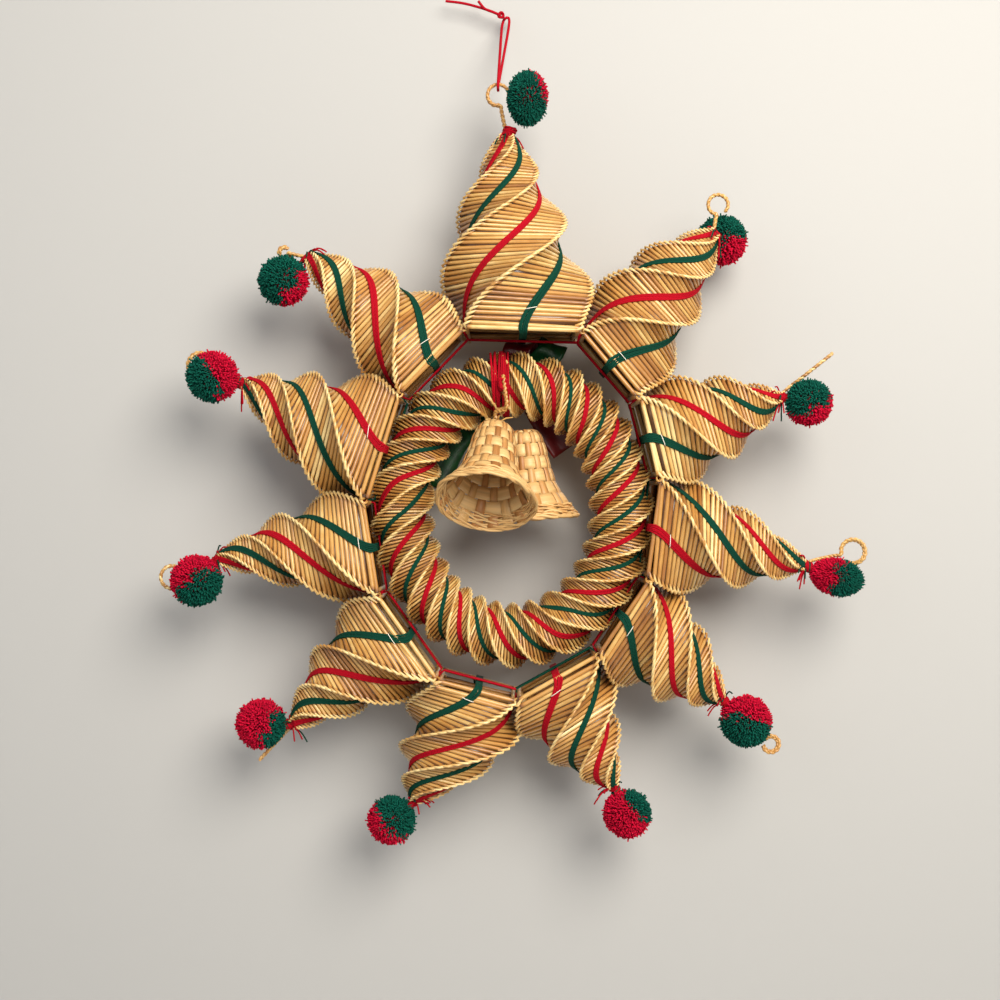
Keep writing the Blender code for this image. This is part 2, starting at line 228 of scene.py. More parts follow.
def pompom_place(index):
    reach, clock, radius, forward = POMPOMS[index]
    return clock_point(reach, clock, MID_PLANE - forward), radius


def pompom_outward(index):
    """The way out from the loop's middle through a pompom, in the wall's plane."""
    clock = math.radians(POMPOMS[index][1])
    return Vector((math.sin(clock), 0, math.cos(clock)))


def cone_measures(index):
    """Mouth middle, end of the weave, side vector, mouth width and depth, bow, girth and fullness."""
    first = corner_point(index - 1)
    last = corner_point(index)
    along = (last - first).normalized()
    width = (last - first).length - 2 * JOINT_GAP
    depth = TOP_MOUTH_DEPTH if index == 0 else MOUTH_DEPTH
    mouth = (first + last) / 2
    reach, clock, bow, girth, fullness = CONES[index]
    tip = clock_point(reach, clock)
    ball, radius = pompom_place(index)
    tip_radius = TIP_SHARE * (width + depth) / math.sqrt(8)
    clear = radius * LONG_POMPOMS.get(index, 1) + tip_radius + BALL_GAP
    span = tip - mouth
    offset = mouth - ball
    a = span.length_squared
    b = offset.dot(span)
    inside = b * b - a * (offset.length_squared - clear * clear)
    share = 1.0
    if inside > 0:
        share = min(1.0, (-b - math.sqrt(inside)) / a)
    return mouth, mouth + span * share, along, width, depth, bow, girth, fullness


def ease(share):
    """A share from 0 to 1 that starts and ends gently."""
    return share * share * (3 - 2 * share)


def cone_section(measures, t, inset=0.0):
    """The middle and the four corners of a cone's section, drawn in by the inset."""
    mouth, end, side, width, depth, bow, girth, fullness = measures
    back = Vector((0, 1, 0))
    settled = ease(min(t / SETTLE, 1.0))
    taper = 1 - (1 - TIP_SHARE) * t**fullness
    ridge = girth * (width + depth) / math.sqrt(8) * settled
    wide = taper * (width / math.sqrt(2) * (1 - settled) + ridge) - inset * math.sqrt(2)
    deep = taper * (depth / math.sqrt(2) * (1 - settled) + ridge) - inset * math.sqrt(2)
    turn = CONE_TWIST * t**TWIST_DELAY
    centre = mouth.lerp(end, t) + bow * math.sin(math.pi * t) * side
    corners = []
    for k in range(4):
        angle = math.pi / 4 + k * math.pi / 2 + turn
        corners.append(centre + wide * math.cos(angle) * side + deep * math.sin(angle) * back)
    return centre, corners


def full_turn(steps):
    """Angles once round, with the first one again at the end."""
    return [2 * math.pi * k / steps for k in range(steps + 1)]


def carried_frames(path, side):
    """Each point of a path with two vectors across it, carried along without twist."""
    frames = []
    side = side.normalized()
    for k, point in enumerate(path):
        before = path[max(k - 1, 0)]
        after = path[min(k + 1, len(path) - 1)]
        tangent = (after - before).normalized()
        side = (side - tangent * side.dot(tangent)).normalized()
        frames.append((point, side.copy(), tangent.cross(side)))
    return frames


def smooth_path(points, steps):
    """A Catmull-Rom curve through the points."""
    ends = [2 * points[0] - points[1], *points, 2 * points[-1] - points[-2]]
    path = []
    for a, b, c, d in zip(ends, ends[1:], ends[2:], ends[3:]):
        for step in range(steps):
            t = step / steps
            line = 2 * b + (c - a) * t
            bend = (2 * a - 5 * b + 4 * c - d) * t**2 + (3 * b - a - 3 * c + d) * t**3
            path.append(0.5 * (line + bend))
    path.append(points[-1].copy())
    return path


# Nodes and materials


def add_node(tree, kind, inputs=None, **settings):
    """A shader node with its settings, and with each named input set or linked."""
    made = tree.nodes.new(kind)
    for name, value in settings.items():
        setattr(made, name, value)
    for name, value in (inputs or {}).items():
        if isinstance(value, bpy.types.NodeSocket):
            tree.links.new(value, made.inputs[name])
        else:
            made.inputs[name].default_value = value
    return made


def colour_ramp(tree, factor, stops):
    made = add_node(tree, "ShaderNodeValToRGB", {"Fac": factor})
    elements = made.color_ramp.elements
    while len(elements) < len(stops):
        elements.new(0.5)
    for element, (place, colour) in zip(elements, stops):
        element.position = place
        element.color = (*colour, 1.0)
    return made.outputs["Color"]


def math_node(tree, operation, first, second=0.0):
    made = add_node(tree, "ShaderNodeMath", {0: first, 1: second}, operation=operation)
    return made.outputs[0]


def start_group(name, numbers, results):
    """An empty node group with number inputs and the named outputs."""
    group = bpy.data.node_groups.new(name, "ShaderNodeTree")
    for label, value in numbers.items():
        socket = group.interface.new_socket(label, in_out="INPUT", socket_type="NodeSocketFloat")
        socket.default_value = value
    for label, kind in results.items():
        group.interface.new_socket(label, in_out="OUTPUT", socket_type=kind)
    return group, group.nodes.new("NodeGroupInput"), group.nodes.new("NodeGroupOutput")


def streak_group():
    """Streaks that run along a straw or a splint, from the grain place kept on each point."""
    group, given, result = start_group(
        "Lengthwise streaks",
        {"Along": 60.0, "Across": 1500.0},
        {"Shade": "NodeSocketFloat", "Blotch": "NodeSocketFloat", "Height": "NodeSocketFloat"},
    )
    grain = grain_place(group)
    along = given.outputs["Along"]
    across = given.outputs["Across"]
    stretch = add_node(group, "ShaderNodeCombineXYZ", {"X": along, "Y": across, "Z": across}).outputs[0]
    place = add_node(group, "ShaderNodeVectorMath", {0: grain, 1: stretch}, operation="MULTIPLY")
    streaks = noise_node(group, place.outputs[0], 1.0, 4.0)
    group.links.new(streaks, result.inputs["Shade"])
    group.links.new(noise_node(group, grain, 90.0, 3.0), result.inputs["Blotch"])
    group.links.new(streaks, result.inputs["Height"])


def ply_group():
    """The slanting plies of twisted yarn, with painted shade in the grooves between them, and a fuzz of
    loose fibres.
    """
    group, given, result = start_group(
        "Twisted plies",
        {"Plies": 3.0, "Turns": 2600.0},
        {"Shade": "NodeSocketFloat", "Height": "NodeSocketFloat"},
    )
    grain = grain_place(group)
    parts = add_node(group, "ShaderNodeSeparateXYZ", {0: grain})
    around = math_node(group, "ARCTAN2", parts.outputs["Z"], parts.outputs["Y"])
    plies = math_node(group, "MULTIPLY", around, given.outputs["Plies"])
    along = math_node(group, "MULTIPLY", parts.outputs["X"], given.outputs["Turns"])
    wave = math_node(group, "SINE", math_node(group, "ADD", plies, along))
    fuzz = noise_node(group, grain, 3500.0, 2.0)
    # painted shade: darker where the plies dip, the same wave as the height
    shade = math_node(group, "MULTIPLY_ADD", wave, 0.25)
    shade.node.inputs[2].default_value = 0.5
    mixed = math_node(group, "ADD", shade, math_node(group, "MULTIPLY", fuzz, 0.5))
    group.links.new(mixed, result.inputs["Shade"])
    group.links.new(mixed, result.inputs["Height"])


def start_material(name):
    made = bpy.data.materials.new(name)
    made.use_nodes = True
    tree = made.node_tree
    return made, tree, tree.nodes["Principled BSDF"]


def multiply_colour(tree, colour, shade, low, high):
    """The colour times a shade that is spread between low and high."""
    ends = {"From Min": 0.3, "From Max": 0.7, "To Min": low, "To Max": high}
    spread = add_node(tree, "ShaderNodeMapRange", {"Value": shade, **ends}).outputs[0]
    made = add_node(tree, "ShaderNodeVectorMath", {0: colour, "Scale": spread}, operation="SCALE")
    return made.outputs[0]


def noise_node(tree, place, scale, detail):
    made = add_node(tree, "ShaderNodeTexNoise", {"Vector": place, "Scale": scale, "Detail": detail})
    return made.outputs["Fac"]


def grain_place(tree):
    """Each point's own place along and across its strand."""
    return add_node(tree, "ShaderNodeAttribute", attribute_name="grain").outputs["Vector"]


def point_tone(tree):
    return add_node(tree, "ShaderNodeAttribute", attribute_name="tone").outputs["Fac"]


def raise_surface(tree, shader, height, strength, distance):
    """A bump of this strength from the height, into the shader's normal."""
    inputs = {"Height": height, "Strength": strength, "Distance": distance}
    made = add_node(tree, "ShaderNodeBump", inputs)
    tree.links.new(made.outputs[0], shader.inputs["Normal"])


def stalk_material(name, stops, along, across, roughness, coat, bump):
    """Dried stalk: its tone from the point attribute, with streaks, blotches and a waxy gloss."""
    made, tree, shader = start_material(name)
    streaks = add_node(tree, "ShaderNodeGroup", node_tree=bpy.data.node_groups["Lengthwise streaks"])
    streaks.inputs["Along"].default_value = along
    streaks.inputs["Across"].default_value = across
    tone = point_tone(tree)
    drift = math_node(tree, "SUBTRACT", streaks.outputs["Blotch"], 0.5)
    toned = math_node(tree, "ADD", tone, math_node(tree, "MULTIPLY", drift, 0.40))
    colour = colour_ramp(tree, toned, stops)
    shaded = multiply_colour(tree, colour, streaks.outputs["Shade"], 0.80, 1.10)
    tree.links.new(shaded, shader.inputs["Base Color"])
    ends = {"To Min": roughness - 0.12, "To Max": roughness + 0.15}
    rough = add_node(tree, "ShaderNodeMapRange", {"Value": streaks.outputs["Shade"], **ends})
    tree.links.new(rough.outputs[0], shader.inputs["Roughness"])
    shader.inputs["Coat Weight"].default_value = coat
    shader.inputs["Coat Roughness"].default_value = 0.28
    raise_surface(tree, shader, streaks.outputs["Height"], bump, 0.0003)
    return made


def yarn_material(name, colour, dark, turns=2600.0):
    """Matte wool yarn with its plies and a soft sheen."""
    made, tree, shader = start_material(name)
    plies = add_node(tree, "ShaderNodeGroup", node_tree=bpy.data.node_groups["Twisted plies"])
    plies.inputs["Turns"].default_value = turns
    ramp = colour_ramp(tree, point_tone(tree), ((0.0, dark), (1.0, colour)))
    # painted shade between the plies, with the fibres' fuzz as tone, scales the yarn's colour
    shaded = multiply_colour(tree, ramp, plies.outputs["Shade"], 0.62, 1.18)
    tree.links.new(shaded, shader.inputs["Base Color"])
    shader.inputs["Roughness"].default_value = 0.88
    shader.inputs["Specular IOR Level"].default_value = 0.15
    shader.inputs["Sheen Weight"].default_value = 0.08
    shader.inputs["Sheen Roughness"].default_value = 0.5
    shader.inputs["Sheen Tint"].default_value = (*colour, 1.0)
    raise_surface(tree, shader, plies.outputs["Height"], 0.6, 0.0004)
    return made


def satin_material(name, colour, dark):
    """Satin ribbon: fine cross ribs with painted shade between them, a soft shine that follows the folds,
    and painted sheen in light and dark clouds along it.
    """
    made, tree, shader = start_material(name)
    grain = grain_place(tree)
    inputs = {"Vector": grain, "Scale": 900.0, "Distortion": 0.4, "Detail": 1.0}
    ribs = add_node(tree, "ShaderNodeTexWave", inputs, wave_type="BANDS", bands_direction="X")
    # painted sheen: light and dark clouds along the ribbon, in its colour
    painted_sheen = noise_node(tree, grain, 120.0, 3.0)
    ramp = colour_ramp(tree, painted_sheen, ((0.3, dark), (0.7, colour)))
    # painted shade between the cross ribs
    shaded = multiply_colour(tree, ramp, ribs.outputs["Fac"], 0.85, 1.1)
    tree.links.new(shaded, shader.inputs["Base Color"])
    shader.inputs["Roughness"].default_value = 0.32
    shader.inputs["Specular IOR Level"].default_value = 0.4
    shader.inputs["Sheen Weight"].default_value = 0.05
    raise_surface(tree, shader, ribs.outputs["Fac"], 0.15, 0.0002)
    return made


def make_materials():
    """Every finish by its name; the ramps run from the dark end of a tone to the pale one."""
    streak_group()
    ply_group()
    straw_tones = (
        (0.0, (0.085, 0.030, 0.008)),
        (0.25, (0.32, 0.128, 0.029)),
        (0.5, (0.50, 0.236, 0.053)),
        (0.75, (0.65, 0.38, 0.112)),
        (1.0, (0.84, 0.62, 0.27)),
    )
    splint_tones = (
        (0.0, (0.26, 0.092, 0.021)),
        (0.35, (0.46, 0.205, 0.055)),
        (0.6, (0.59, 0.335, 0.117)),
        (1.0, (0.74, 0.49, 0.21)),
    )
    return {
        "straw": stalk_material("Straw", straw_tones, 60.0, 1500.0, 0.36, 0.62, 0.5),
        "splint": stalk_material("Woven splint", splint_tones, 45.0, 900.0, 0.5, 0.1, 0.4),
        "red": yarn_material("Red yarn", (0.36, 0.001, 0.010), (0.20, 0.001, 0.006)),
        "green": yarn_material("Green yarn", (0.001, 0.044, 0.026), (0.001, 0.018, 0.011)),
        "red_tuft": yarn_material("Red pompom yarn", (0.68, 0.004, 0.042), (0.16, 0.001, 0.010)),
        "green_tuft": yarn_material("Green pompom yarn", (0.002, 0.115, 0.078), (0.001, 0.020, 0.016)),
        "thread": yarn_material("White thread", (0.85, 0.82, 0.72), (0.7, 0.65, 0.5), 6000.0),
        "red_satin": satin_material("Red satin", (0.17, 0.002, 0.006), (0.06, 0.001, 0.002)),
        "green_satin": satin_material("Green satin", (0.002, 0.085, 0.018), (0.001, 0.022, 0.007)),
    }


# Shaping


class Work:
    """A mesh in the making. Each point keeps a tone, and its grain place: metres along and across."""

    def __init__(self):
        self.bm = bmesh.new()
        self.tone = self.bm.verts.layers.float.new("tone")
        self.grain = self.bm.verts.layers.float_vector.new("grain")
        self.seams = {}

    def grid(self, across, along):
        """The points of a new flat grid, row after row."""
        return bmesh.ops.create_grid(self.bm, x_segments=across, y_segments=along, size=1.0)["verts"]

    def strand(self, path, radius, side, tone, sides=8, flat=1.0):
        """Rolls a grid into a strand along the path; radius is one number or one for each point."""
        made = self.grid(sides, len(path) - 1)
        turns = [(math.cos(angle), math.sin(angle)) for angle in full_turn(sides)]
        along = chance.uniform(0.0, 9.0)
        for k, (point, across, up) in enumerate(carried_frames(path, side)):
            if k:
                along += (path[k] - path[k - 1]).length
            size = radius[k] if isinstance(radius, list) else radius
            shade = tone[k] if isinstance(tone, list) else tone
            row = made[k * (sides + 1) : (k + 1) * (sides + 1)]
            for vert, (c, s) in zip(row, turns):
                vert.co = point + across * (size * c) + up * (size * flat * s)
                vert[self.tone] = shade
                vert[self.grain] = (along, size * c, size * s)
            self.seams[row[-1]] = row[0]

    def shell(self, rows, tone, loop=False):
        """Rolls a grid into a skin through rows of points, each a closed section; a loop has no ends."""
        count = len(rows[0])
        made = self.grid(count, len(rows) - 1)
        for k, points in enumerate(rows):
            row = made[k * (count + 1) : (k + 1) * (count + 1)]
            for s, vert in enumerate(row):
                vert.co = points[s % count]
                vert[self.tone] = tone
                vert[self.grain] = (0.002 * k, 0.01 * s, 0.0)
            self.seams[row[-1]] = row[0]
        if loop:
            for first, last in zip(made[:count], made[-count - 1 : -1]):
                self.seams[last] = first
            self.seams[made[-1]] = made[0]

    def close(self):
        """Closes the seams and the open ends, with a sharp edge round each end."""
        bmesh.ops.weld_verts(self.bm, targetmap=self.seams)
        edges = [edge for edge in self.bm.edges if edge.is_boundary]
        for face in self.bm.faces:
            face.smooth = True
        ends = bmesh.ops.holes_fill(self.bm, edges=edges, sides=0)["faces"]
        for face in ends:
            face.smooth = False
            for edge in face.edges:
                edge.smooth = False
        bmesh.ops.recalc_face_normals(self.bm, faces=self.bm.faces)

    def finish(self, name, finish, slot=None, nodes=(), close=True):
        """Makes the piece, and says what it rides on, replaces and takes its finish from."""
        if close:
            self.close()
        mesh = bpy.data.meshes.new(name)
        self.bm.to_mesh(mesh)
        self.bm.free()
        mesh.materials.append(finish)
        made = bpy.data.objects.new(name, mesh)
        bpy.context.scene.collection.objects.link(made)
        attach(made, "root")
        if nodes:
            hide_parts(*nodes)
        return made


def clamp(tone):
    return min(max(tone, 0.0), 1.0)


def straw_tone(zone=0.0):
    """Most straws are golden, some are pale and a few are brown."""
    tone = chance.gauss(0.61 + zone, 0.12)
    if chance.random() < 0.06:
        tone -= 0.22
    return min(max(tone, 0.28), 1.0)


def tone_zones(count):
    """A drift of tone for each round, the same for a few rounds that come from one bundle."""
    zones = []
    while len(zones) < count:
        zones += [chance.gauss(0.0, 0.11)] * chance.randint(2, 7)
    return zones


def fold_path(here, above, k, radius, reach):
    """A straw's turn at a ridge: slantwise over it, from one face to the next round on the other."""
    middle, corners, outer = here
    lift = (outer[k] - middle).normalized()
    step = above[1][k] - corners[k]
    before = (corners[k - 1] - corners[k]).normalized() * reach
    after = (above[1][(k + 1) % 4] - above[1][k]).normalized() * reach
    path = [
        corners[k] + before - step * 0.15 + lift * (0.3 * radius),
        corners[k] + before * 0.5 + step * 0.1 + lift * (1.15 * radius),
        outer[k] + step * 0.5 + lift * (0.55 * radius),
        corners[k] + after * 0.5 + step * 0.95 + lift * (1.15 * radius),
        corners[k] + after + step * 1.25 + lift * (0.2 * radius),
    ]
    return path, lift


def lay_round(work, here, above, radius, loose, sides, fold, zone):
    """One round of four straws, each folded over the next ridge and up to the round above.

    here and above are (middle, corners of the straws' lines, outer corners) of two rounds, and
    fold is how far a fold reaches over each face and how thick it is, both in straw radii.
    """
    middle, corners, _ = here
    tones = [straw_tone(zone) for _ in range(4)]
    for k in range(4):
        start = corners[k]
        end = corners[(k + 1) % 4]
        along = (end - start).normalized()
        outward = ((start + end) / 2 - middle).normalized()
        axis = along.cross(outward)
        size = radius * chance.uniform(0.93, 1.05)
        shift = [chance.gauss(0, loose) for _ in range(4)]
        first = start + axis * shift[0] + outward * shift[1] * 0.5
        last = end + axis * shift[2] + outward * shift[3] * 0.5
        bend = (first + last) / 2 + outward * chance.uniform(-0.3, 0.3) * radius
        hidden = radius * 2.2 / (last - first).length
        path = [first, first.lerp(bend, hidden * 2), bend, last.lerp(bend, hidden * 2), last]
        # painted shade: each straw darkened towards its ends, under the folds
        shades = [clamp(tones[k] + drop) for drop in STRAW_PAINTED_SHADE]
        work.strand(path, [size * 0.95, size, size, size, size * 0.95], outward, shades, sides)

        thick = radius * fold[1] * chance.uniform(0.9, 1.1)
        path, lift = fold_path(here, above, k, radius, radius * fold[0] * chance.uniform(0.9, 1.1))
        # painted highlight: each fold toned lighter than the straws, as if catching the light
        tone = tones[k - 1] + chance.uniform(0.0, 0.30)
        shades = [clamp(tone + drop) for drop in FOLD_PAINTED_LIGHT]
        sizes = [thick * 0.8] + [thick] * (len(path) - 2) + [thick * 0.7]
        work.strand(path, sizes, lift, shades, 6)


def cone_levels(measures):
    """Shares of the cone's length at which its rounds lie, and the straw radius of each."""
    length = (measures[1] - measures[0]).length
    count = round(length / CONE_PITCH)
    shares = []
    for k in range(count + 1):
        u = k / count
        shares.append(u + CLOSING * u * (1 - u))
    radii = []
    for k in range(count + 1):
        near = shares[min(k + 1, count)] - shares[min(k, count - 1)]
        radii.append(min(near * length * 0.49, STRAW / 2))
    return shares, radii


def plait_path(index, start, axis):
    """From a cone's tip past its pompom to the plaited end, round its loop if it has one.

    It goes behind a pompom that stands in front of the cone's axis, and before one behind it.
    """
    reach, clock, loop_radius = PLAITS[index]
    ball, ball_radius = pompom_place(index)
    goal = clock_point(reach, clock)
    heading = (goal - start).normalized()
    entry = goal - heading * loop_radius
    clear = ball_radius + PLAIT_RADIUS * 1.5 + 2 * BALL_GAP
    outward = pompom_outward(index)
    away = 1 if ball.y < MID_PLANE else -1
    points = [start, start + axis * PLAIT_RADIUS]
    steps = 9
    for step in range(1, steps + 1):
        points.append(start.lerp(entry, step / steps))
    if loop_radius:
        side = Vector((heading.z, 0, -heading.x))
        turns = 10
        centre = points[-1] + heading * loop_radius
        for step in range(1, turns):
            angle = math.pi + 2 * math.pi * step / turns * 0.94
            points.append(centre + loop_radius * (math.cos(angle) * heading + math.sin(angle) * side))
    for point in points[2:]:
        off = Vector((point.x - ball.x, 0, point.z - ball.z))
        off -= outward * off.dot(outward) * (1 - 1 / LONG_POMPOMS.get(index, 1))
        flat = off.length
        if flat < clear:
            passing = ball.y + away * math.sqrt(clear**2 - flat**2)
            point.y = max(point.y * away, passing * away) * away
    return points


def plait_strands(path, width, turn_length, strands=3):
    """The wandering paths of a flat plait's strands along a middle path."""
    frames = carried_frames(path, Vector((0.3, 0.1, 0.9)).cross(path[1] - path[0]))
    paths = []
    for strand in range(strands):
        along = 0.0
        made = []
        for k, (point, across, up) in enumerate(frames):
            if k:
                along += (path[k] - path[k - 1]).length
            phase = 2 * math.pi * (along / turn_length + strand / strands)
            wander = across * math.sin(phase) + up * (0.45 * math.sin(2 * phase))
            made.append(point + wander * width)
        paths.append(made)
    return paths


def part_row(corners):
    """A closed section with some points along each of its four sides."""
    row = []
    for k in range(4):
        for part in range(FACE_PARTS):
            row.append(corners[k].lerp(corners[(k + 1) % 4], part / FACE_PARTS))
    return row


def make_cone(index, materials):
    """One cone: its rounds of straw, a dark sheet of painted shade behind them and the plaited end."""
    measures = cone_measures(index)
    shares, radii = cone_levels(measures)
    zones = tone_zones(len(shares))
    work = Work()
    rounds = []
    for share, radius in zip(shares, radii):
        middle, corners = cone_section(measures, share, radius)
        rounds.append((middle, corners, cone_section(measures, share)[1]))
    for k in range(len(rounds) - 1):
        loose = MOUTH_LOOSENESS if k < MOUTH_ROUNDS else LOOSENESS
        lay_round(work, rounds[k], rounds[k + 1], radii[k], loose, CONE_SIDES, CONE_FOLD, zones[k])
    # painted shade: a dark sheet inside the straw wall, seen through the gaps between straws and in the
    # mouth
    shade_sheet = []
    for depth, stops in ((SHADE_SHEET_OUTSIDE, shares[1:]), (SHADE_SHEET_INSIDE, shares[:0:-1])):
        for share in stops:
            shade_sheet.append(part_row(cone_section(measures, share, STRAW * depth)[1]))
    shade_sheet.append(shade_sheet[0])
    work.shell(shade_sheet, 0.0, loop=True)
    if PLAITS[index]:
        axis = (measures[1] - measures[0]).normalized()
        middle_path = smooth_path(plait_path(index, measures[1] - axis * 0.004, axis), 5)
        for path in plait_strands(middle_path, PLAIT_RADIUS * 0.62, 0.0095):
            work.strand(path, PLAIT_RADIUS * 0.55, Vector((0.2, 1, 0.1)), straw_tone(), 6)
    node = f"arm_{index + 1:02d}"
    work.finish(node + "_straw", materials["straw"], "straw", [node])


def face_middle(measures, share, face, lift):
    """The middle of a face at this share, lifted off it, with the direction of its straws."""
    _, corners = cone_section(measures, share, -lift)
    first = corners[face]
    last = corners[(face + 1) % 4]
    return (first + last) / 2, (last - first).normalized()


def lay_bands(index, works):
    """The yarn bands of one cone: each runs down two opposite faces and across the mouth."""
    measures = cone_measures(index)
    axis = (measures[1] - measures[0]).normalized()
    colours = ("green", "red") if FRONT_BANDS[index] == "G" else ("red", "green")
    for colour, face in zip(colours, (2, 3)):
        opposite = (face + 2) % 4
        sink = STRAW * 0.9 + (0 if face == 2 else BAND_STRAND * 2.4)
        steps = 44
        for strand in range(BAND_STRANDS):
            place = strand - (BAND_STRANDS - 1) / 2
            phase = chance.uniform(0, 6.28)
            path = []
            for run, way in ((face, 1), (opposite, -1)):
                leg = []
                for k in range(steps + 1):
                    share = 0.985 * k / steps
                    gather = 1 - 0.5 * share**1.5
                    point, chord = face_middle(measures, share, run, BAND_STRAND * 0.55)
                    wander = 0.00022 * math.sin(phase + 9 * share + run)
                    leg.append(point + chord * (way * (place * BAND_STEP * gather + wander)))
                lip, chord = face_middle(measures, 0.0, run, -STRAW * 0.5)
                bite = -axis * sink + chord * (way * place * BAND_STEP * 0.75)
                leg.insert(0, lip + bite)
                path += leg[::-1] if way == 1 else leg
            works[colour].strand(path, BAND_STRAND, Vector((0, 1, 0)), chance.uniform(0.6, 1.0), 6)


def lay_tip_wraps(index, works):
    """Yarn wound round a cone's tip, where its pompom is tied on, with a few loose ends."""
    measures = cone_measures(index)
    ball, _ = pompom_place(index)
    tip = measures[1]
    axis = (tip - measures[0]).normalized()
    side = measures[2]
    back = Vector((0, 1, 0))
    size = TIP_SHARE * (measures[3] + measures[4]) / math.sqrt(8) * 0.86
    towards = (ball - tip).normalized()
    for wrap in range(TIP_WRAPS):
        work = works["green" if wrap % 4 == 2 and index % 2 else "red"]
        lean = chance.uniform(-0.0012, 0.0012)
        middle = tip - axis * (0.0042 - min(wrap, 3) * 0.0013) + towards * max(wrap - 3, 0) * 0.0010
        wide = size * (1.0 - 0.02 * wrap)
        path = []
        for angle in full_turn(16):
            out = side * math.cos(angle) + back * math.sin(angle)
            path.append(middle + out * wide + axis * (lean * math.cos(angle)))
        work.strand(path, WRAP_RADIUS, axis, chance.uniform(0.5, 1.0), 5)
    for end in range(LOOSE_ENDS):
        work = works["green" if end % 4 == index % 4 else "red"]
        out = side * chance.uniform(-1, 1) + back * chance.uniform(-1, 0.2)
        start = tip + out.normalized() * size * 0.8
        away = (out.normalized() - axis * chance.uniform(0.0, 1.2)).normalized()
        length = chance.uniform(0.005, 0.013)
        droop = Vector((0, 0, -length * 0.4))
        bends = ((0, 0), (0.5, 0), (0.8, 0.5), (1, 1))
        path = smooth_path([start + away * length * out + droop * down for out, down in bends], 2)
        work.strand(path, LOOSE_END_RADIUS, Vector((0.3, 1, 0.2)), chance.uniform(0.5, 1.0), 5)


def lay_stitches(index, work, ties):
    """The white thread that holds a band to the straws near the mouth, and the corner ties."""
    measures = cone_measures(index)
    for face in (2, 0):
        share = chance.uniform(0.06, 0.11)
        point, chord = face_middle(measures, share, face, BAND_STRAND * 2.4)
        low, _ = face_middle(measures, share, face, 0.0)
        slant = chord * 0.0042 + (measures[1] - measures[0]).normalized() * chance.uniform(-0.001, 0.001)
        path = [low - slant, point - slant * 0.6, point + slant * 0.6, low + slant]
        work.strand(smooth_path(path, 3), STITCH_RADIUS, Vector((0, 1, 0)), 1.0, 5)
    corner = corner_point(index)
    for depth in (-MOUTH_DEPTH / 2 + 0.0018, MOUTH_DEPTH / 2 - 0.0018):
        for turn in range(4):
            tilt = chance.uniform(-0.5, 0.5)
            size = CORNER_TIE_LOOP * chance.uniform(0.85, 1.15)
            path = []
            for angle in full_turn(12):
                forth = depth + size * math.sin(angle) * 0.9 + turn * 0.0002
                up = size * 0.9 * math.sin(angle + tilt) + chance.uniform(-0.0002, 0.0002)
                path.append(corner + Vector((size * math.cos(angle), forth, up)))
            ties.strand(path, CORNER_TIE_RADIUS, Vector((0, 0.3, 1)), straw_tone(), 5)


# The ring


def ring_axes():
    """Half the width and half the height of the oval that the ring's middle follows."""
    wide = MOUTH_HALF_WIDTH - RING_SIDE_GAP - RING_RIDGE
    high = MOUTH_HALF_HEIGHT - RING_END_GAP - RING_RIDGE
    return wide, high


def ring_centre():
    return Vector((RING_SHIFT, MID_PLANE, -RING_DROP - RING_SAG))


def ring_lead(clock):
    """How far the ring's twist runs ahead of an even one at this clock angle."""
    for (first, low), (last, high) in zip(RING_LEADS, RING_LEADS[1:]):
        if clock <= last:
            return low + (high - low) * ease((clock - first) / (last - first))
    return RING_LEADS[-1][1]


def ring_section(clock, radius):
    """Middle and four corners of the ring's section at a clock angle in degrees."""
    wide, high = ring_axes()
    angle = math.radians(clock)
    middle = ring_centre() + Vector((wide * math.sin(angle), 0, high * math.cos(angle)))
    tangent = Vector((wide * math.cos(angle), 0, -high * math.sin(angle))).normalized()
    front = Vector((0, -1, 0))
    outward = front.cross(tangent)
    turn = RING_QUARTER_TURNS / 4 * math.radians(clock + ring_lead(clock))
    corners = []
    for c in range(4):
        a = turn + c * math.pi / 2
        corners.append(middle + radius * (math.cos(a) * outward + math.sin(a) * front))
    return middle, corners


def make_ring(materials):
    """The ring's rounds of fine straw, on a dark core of painted shade that closes the gaps between them.
    """
    work = Work()
    rounds = []
    shade_core = []
    for k in range(RING_ROUNDS + 1):
        clock = 360 * k / RING_ROUNDS
        middle, outer = ring_section(clock, RING_RIDGE)
        corners = ring_section(clock, RING_RIDGE - RING_STRAW * math.sqrt(2))[1]
        rounds.append((middle, corners, outer))
        shade_core.append(part_row(ring_section(clock, RING_RIDGE - RING_STRAW * 2.0)[1]))
    zones = tone_zones(RING_ROUNDS)
    for k in range(RING_ROUNDS):
        # painted shade: the ring's rounds toned darker than the cones'
        zone = zones[k] - RING_PAINTED_SHADE
        lay_round(work, rounds[k], rounds[k + 1], RING_STRAW, RING_LOOSENESS, RING_SIDES, RING_FOLD, zone)
    # painted shade: the core in the darkest straw tone, seen through the gaps between the rounds
    work.shell(shade_core, 0.0)
    work.finish("ring_straw", materials["straw"], "straw", ["ring"])


def lay_ring_bands(works):
    """The ring's yarn: each colour goes round twice, down two opposite faces, and closes on itself."""
    steps = 300
    for colour, faces, gap in RING_BANDS:
        for strand in range(3):
            place = strand - 1
            phase = chance.uniform(0, 6.28)
            path = []
            for face in faces:
                for k in range(steps):
                    _, corners = ring_section(360 * k / steps, RING_RIDGE + BAND_LIFT)
                    first = corners[face]
                    last = corners[(face + 1) % 4]
                    chord = (last - first).normalized()
                    drift = 0.00015 * math.sin(phase + 0.35 * k)
                    path.append((first + last) / 2 + chord * (place * gap + drift))
            path.append(path[0].copy())
            works[colour].strand(path, gap * 0.56, Vector((0, 1, 0)), chance.uniform(0.5, 1.0), 6)


# Pompoms

POMPOM_TUFTS = 3000
# Shares of a pompom's radius
CORE_REACH = 0.84
TUFT_ROOT = 0.80
TUFT_REACH = 1.035
TUFT_UNEVEN = 0.016
TUFT_RADIUS = 0.042
STRAY_TUFTS = 0.02  # share of the tufts that stand out further
STRAY_REACH = (1.07, 1.14)


